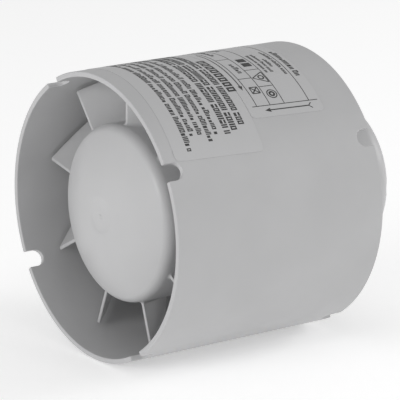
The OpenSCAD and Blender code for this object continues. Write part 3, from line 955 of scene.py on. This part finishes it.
def make_cover_screws():
    """Two pan-head screws with a cross recess, seated in the cover's wells."""
    outline = [(0, SCREW_START), (0.6, SCREW_START), (SCREW_R, SCREW_START + 2), (SCREW_R, HEAD_SEAT)]
    outline += [(HEAD_R - 0.2, HEAD_SEAT), (HEAD_R, HEAD_SEAT + 0.2), (HEAD_R, HEAD_SEAT + 1.1)]
    outline += [(2.65, HEAD_SEAT + 1.6), (2.2, HEAD_SEAT + 1.95), (1.4, HEAD_SEAT + 2.15)]
    outline += [(0, HEAD_SEAT + HEAD_LEN)]
    recess = ((1, 1), (-1, 1), (-1, -1), (1, -1))
    reach, half, slant = 1.55, 0.3, 0.4
    for number, side in enumerate((-1, 1), 1):
        verts, faces = revolve_beside(side * POST_X, outline, 48, False)
        screw = make_piece(f"cover_screw_{number}", HOUSING, verts, faces, [plated_steel], weighted=False)
        bars = []
        for turn in (slant, slant + math.pi / 2):
            long = Vector((math.cos(turn), 0, math.sin(turn))) * reach
            wide = Vector((-math.sin(turn), 0, math.cos(turn))) * half
            rings = []
            for d, share in ((HEAD_SEAT + 1.0, 0.55), (HEAD_SEAT + 3.0, 1.15)):
                middle = Vector((side * POST_X, d - CASING_LEN / 2, 0))
                rings.append([middle + long * share * u + wide * v for u, v in recess])
            bars.append(loft(rings))
        cut(screw, *bars)
        screw.data.set_sharp_from_angle(angle=math.radians(35))
        if number == 1:
            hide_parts("cover_screws")


# ------------------------------------------------------------------------------ labels


class Sheet:
    """A flat drawing wrapped on the casing: x runs clockwise and y along the axis, in millimetres."""

    def __init__(self, box):
        self.clock = (box[0] + box[1]) / 2
        self.depth = (box[2] + box[3]) / 2
        self.half_w = math.radians(box[1] - box[0]) / 2 * CASING_R
        self.half_h = (box[3] - box[2]) / 2

    def wrap(self, x, y, lift):
        """A point of the drawing on the casing, turned a little askew as the label is."""
        skew = math.radians(LABEL_SKEW)
        u = x * math.cos(skew) + y * math.sin(skew)
        v = y * math.cos(skew) - x * math.sin(skew)
        clock = self.clock + math.degrees(u / CASING_R)
        return spot(CASING_R + lift, clock, self.depth + v)

    def x_at(self, clock):
        return math.radians(clock - self.clock) * CASING_R

    def y_at(self, depth):
        return depth - self.depth


def label_mesh(sheet):
    """The label's film: a top, an underside and a thin edge between them."""
    w, h = sheet.half_w, sheet.half_h
    corners = [(-w, -h, LABEL_CORNER), (w, -h, LABEL_CORNER), (w, h, LABEL_CORNER), (-w, h, LABEL_CORNER)]
    loop = rounded(corners, 8)
    edge = []
    for i, p in enumerate(loop):
        q = loop[(i + 1) % len(loop)]
        count = max(1, round((q - p).length / 1.5))
        edge += [p.lerp(q, k / count) for k in range(count)]
    columns, rows = int(w / 0.8), 8
    inner = []
    for i in range(1, columns):
        for j in range(1, rows):
            inner.append(Vector((-w + 2 * w * i / columns, -h + 2 * h * j / rows)))
    coords, faces, numbers = fill(edge, inner)
    top = [sheet.wrap(p.x, p.y, LABEL_THICK) for p in coords]
    bottom = [sheet.wrap(p.x, p.y, LABEL_GAP) for p in coords]
    n = len(coords)
    sides = []
    for k, a in enumerate(numbers):
        b = numbers[(k + 1) % len(numbers)]
        sides.append((a, b, b + n, a + n))
    under = [tuple(v + n for v in reversed(face)) for face in faces]
    return top + bottom, [tuple(f) for f in faces] + under + sides


def ink_shape(sheet, outline):
    """A printed patch, from its outline in the drawing."""
    rings = [[sheet.wrap(x, y, lift) for x, y in outline] for lift in (INK_BASE, INK_TOP)]
    return loft(rings)


def ink_line(sheet, x0, y0, x1, y1, width):
    """A printed line, in stretches short enough to follow the casing."""
    start, end = Vector((x0, y0)), Vector((x1, y1))
    across = side_normal(start, end) * width / 2
    count = max(1, round((end - start).length / 1.6))
    rings = []
    for k in range(count + 1):
        p = start.lerp(end, k / count)
        a, b = p + across, p - across
        corners = ((a, INK_BASE), (b, INK_BASE), (b, INK_TOP), (a, INK_TOP))
        rings.append([sheet.wrap(q.x, q.y, lift) for q, lift in corners])
    return loft(rings)


def ink_ring(sheet, x, y, radius, width):
    """A printed circle."""
    steps = 28
    hole = radius - width
    corners = ((radius, INK_BASE), (hole, INK_BASE), (hole, INK_TOP), (radius, INK_TOP))
    rings = []
    for k in range(steps + 1):
        a = 2 * math.pi * k / steps
        ring = []
        for r, lift in corners:
            ring.append(sheet.wrap(x + r * math.cos(a), y + r * math.sin(a), lift))
        rings.append(ring)
    return loft(rings)


# Marks that stand for print, as boxes (x0, y0, x1, y1) in a square of side 1. None is a letter.
FRAME = [(0, 0, 0.36, 1), (0.64, 0, 1, 1), (0.33, 0.02, 0.67, 0.22), (0.33, 0.78, 0.67, 0.98)]
POSTS = [(0, 0, 0.4, 1), (0.6, 0, 1, 1)]
SHELF = [(0, 0, 1, 0.44), (0, 0.68, 1, 1)]
BLOCK = [(0.1, 0, 0.9, 0.75)]


def ink_row(sheet, rng, start, end, y, height, pitch, marks, low=0.76):
    """A row of blank marks in word-long groups, standing for a line of print; y is its foot."""
    shapes = []
    x = start
    while x < end - pitch * 0.8:
        for _ in range(rng.randint(4, 9)):
            width = pitch * rng.uniform(0.7, 0.9)
            if x + width > end:
                return shapes
            tall = height * rng.choice((1, low, low))
            for x0, y0, x1, y1 in rng.choice(marks):
                shapes.append(ink_box(sheet, x + width * x0, y + tall * y0, x + width * x1, y + tall * y1))
            x += width + pitch * 0.14
        x += pitch * 0.4
    return shapes


def ink_box(sheet, x0, y0, x1, y1):
    """A printed rectangle, small enough not to need bending."""
    return ink_shape(sheet, [(x0, y0), (x1, y0), (x1, y1), (x0, y1)])


def make_label(name, node, box, draw):
    """A label's film, which replaces its node, and a second piece for what draw prints on it."""
    sheet = Sheet(box)
    label = make_piece(name, HOUSING, *label_mesh(sheet), [label_film], sharp=60)
    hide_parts(node)
    print_piece = make_piece(f"{node}_print", HOUSING, *join(*draw(sheet)), [label_ink], weighted=False)


def draw_notice(sheet):
    """A heading, three bold rows and five plain ones, all of them blank marks."""
    rng = random.Random(11)
    bold = [FRAME, POSTS, SHELF]
    plain = [FRAME, POSTS, BLOCK]
    middle = sheet.y_at(39.9)
    shapes = []
    for k in range(HEADING_MARKS):
        x = sheet.x_at(5) + HEADING_PITCH * k
        shapes += [ink_line(sheet, x + dx, middle - 1.6, x + dx, middle + 1.6, 0.8) for dx in (0, 1.4)]
        shapes += [ink_line(sheet, x + 0.4, middle + dy, x + 1.0, middle + dy, 0.7) for dy in (-1.25, 1.25)]
    # Each row is a depth, with the clocks where it starts and ends.
    for depth, start, end in ((36.2, -20, 46.5), (32.6, -20, 47.8), (29.5, -21, 49.6)):
        foot = sheet.y_at(depth) - 1.2
        shapes += ink_row(sheet, rng, sheet.x_at(start), sheet.x_at(end), foot, 2.35, 1.8, bold, 1)
    plain_rows = [(25.3, -19, 48.8), (22.1, -22, 53.2), (18.9, -19, 48.8)]
    plain_rows += [(15.8, -18, 48.2), (12.7, -22, 54.6)]
    for depth, start, end in plain_rows:
        foot = sheet.y_at(depth) - 0.95
        shapes += ink_row(sheet, rng, sheet.x_at(start), sheet.x_at(end), foot, 2.1, 1.4, plain)
    return shapes


def draw_rating(sheet):
    """A ruled table with blank entries, an airflow arrow and a rotation arrow."""
    rng = random.Random(5)
    thin = 0.28
    marks = [FRAME, POSTS, BLOCK]
    right = sheet.x_at(40)
    left = sheet.x_at(-24)
    levels = [45.6, 51.0, 56.8, 66.8]
    shapes = [ink_line(sheet, left, sheet.y_at(d), right, sheet.y_at(d), thin) for d in levels]
    shapes.append(ink_line(sheet, right, sheet.y_at(43.8), right, sheet.y_at(70.3), thin))
    for clock, low, high in ((19.2, 51.0, 56.8), (30.2, 51.0, 56.8), (24.5, 45.6, 51.0), (8, 45.6, 51.0)):
        x = sheet.x_at(clock)
        shapes.append(ink_line(sheet, x, sheet.y_at(low), x, sheet.y_at(high), thin))
    # Each entry is a depth, the clocks where it starts and ends, and its height.
    rows = [(65.4, 5, 25.5, 1.3), (62.8, 12, 19, 1.2), (60.8, 6.5, 22.8, 1.2), (58.8, 7, 22.3, 1.2)]
    rows += [(48.9, 13, 21.5, 2.0), (69.4, 6, 27.5, 2.2), (54.2, -20, -4, 1.8), (48.4, -20, 3, 1.8)]
    for depth, start, end, height in rows:
        y = sheet.y_at(depth) - height / 2
        shapes += ink_row(sheet, rng, sheet.x_at(start), sheet.x_at(end), y, height, height * 0.75, marks)

    middle = sheet.y_at(54.2)
    for low, high in ((9.5, 12.5), (13.5, 16.5)):
        shapes.append(ink_line(sheet, sheet.x_at(low), middle, sheet.x_at(high), middle, 3.4))
    shapes.append(ink_ring(sheet, sheet.x_at(34.6), middle, 2.0, 0.4))
    shapes.append(ink_ring(sheet, sheet.x_at(34.6), middle, 1.2, 0.7))
    shapes += ink_polygon(sheet, sheet.x_at(24.8), middle + 0.5, 3.3, 3, -90, 0.4)
    shapes.append(ink_ring(sheet, sheet.x_at(24.8), middle + 0.5, 1.2, 0.5))
    x, y = sheet.x_at(31.8), sheet.y_at(48.6)
    shapes += ink_polygon(sheet, x, y, 2.1, 4, 45, 0.4)
    for side in (-1, 1):
        shapes.append(ink_line(sheet, x - 1.2, y - 1.2 * side, x + 1.2, y + 1.2 * side, 0.45))
    x = sheet.x_at(42.3)
    shapes += straight_arrow(sheet, x, sheet.y_at(65.8), x, sheet.y_at(48.0), True)
    y = sheet.y_at(44.1)
    shapes += straight_arrow(sheet, sheet.x_at(-3), y, sheet.x_at(31.2), y, False)
    return shapes


def ink_polygon(sheet, x, y, radius, sides, turn, width):
    """A printed outline with straight sides, its first corner at an angle."""
    corners = [math.radians(turn + 360 * k / sides) for k in range(sides + 1)]
    points = [(x + radius * math.cos(a), y + radius * math.sin(a)) for a in corners]
    return [ink_line(sheet, *points[k], *points[k + 1], width) for k in range(sides)]


def straight_arrow(sheet, x0, y0, x1, y1, feathered):
    """A line with a solid head at its end, and a forked tail if it has one."""
    start, end = Vector((x0, y0)), Vector((x1, y1))
    way = (end - start).normalized()
    across = side_normal(start, end)
    neck = end - way * 2.2
    shapes = [ink_line(sheet, start.x, start.y, neck.x, neck.y, 0.42)]
    head = [neck + across * 0.85, neck - across * 0.85, end]
    shapes.append(ink_shape(sheet, [(p.x, p.y) for p in head]))
    if feathered:
        for side in (-1, 1):
            tail = start - way * 1.2 + across * side * 1.1
            shapes.append(ink_line(sheet, start.x, start.y, tail.x, tail.y, 0.35))
    return shapes


# ----------------------------------------------------------------- stage, light, camera


def make_stage():
    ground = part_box("casing")[0].z - FLOOR_GAP
    mesh = bpy.data.meshes.new("floor")
    signs = ((-1, -1), (1, -1), (1, 1), (-1, 1))
    corners = [(x * FLOOR_HALF, y * FLOOR_HALF, ground) for x, y in signs]
    mesh.from_pydata(corners, [], [(0, 1, 2, 3)])
    floor = add_object("floor", mesh)
    material, _, _, shader = new_material("pale_floor")
    shader.inputs["Base Color"].default_value = (0.93, 0.93, 0.93, 1)
    shader.inputs["Roughness"].default_value = 0.9
    shader.inputs["Specular IOR Level"].default_value = 0.1
    shader.inputs["Emission Color"].default_value = (1, 1, 1, 1)
    shader.inputs["Emission Strength"].default_value = FLOOR_GLOW
    mesh.materials.append(material)


def area_light(name, azimuth, elevation, watts):
    """A soft box that faces the fan; azimuth 0 is in front of the outlet and 90 is at its right."""
    light = bpy.data.lights.new(name, "AREA")
    light.shape = "RECTANGLE"
    light.size, light.size_y = SOFT_BOX
    light.energy = watts
    obj = add_object(name, light)
    turn, lift = math.radians(azimuth), math.radians(elevation)
    way = Vector((math.sin(turn) * math.cos(lift), -math.cos(turn) * math.cos(lift), math.sin(lift)))
    obj.location = way * LIGHT_DISTANCE
    obj.rotation_euler = (-way).to_track_quat("-Z", "Y").to_euler()


def make_light():
    for light in LIGHTS:
        area_light(*light)
    world = bpy.data.worlds.new("pale_room")
    world.use_nodes = True
    background = world.node_tree.nodes["Background"]
    background.inputs["Color"].default_value = (1, 1, 1, 1)
    background.inputs["Strength"].default_value = ROOM_LIGHT
    bpy.context.scene.world = world
    bpy.context.scene.view_settings.view_transform = "Standard"


def make_camera():
    """A long lens at the outlet's right, level with no roll, a little above the fan."""
    camera = bpy.data.cameras.new("camera")
    camera.sensor_width = CAMERA_SENSOR
    camera.lens = CAMERA_LENS
    camera.clip_end = 20
    obj = add_object("camera", camera)
    obj.location = Vector(CAMERA_AT) * (CASING_R * MM)
    obj.rotation_euler = Vector(CAMERA_AIM).to_track_quat("-Z", "Y").to_euler()
    bpy.context.scene.camera = obj


dress_cad_nodes()
make_casing()
make_impeller()
make_motor_frame()
make_cover()
make_gasket()
make_grommet()
make_cover_screws()
make_label("notice_label_film", "notice_label", NOTICE_BOX, draw_notice)
make_label("rating_label_film", "rating_label", RATING_BOX, draw_rating)
make_stage()
make_light()
make_camera()
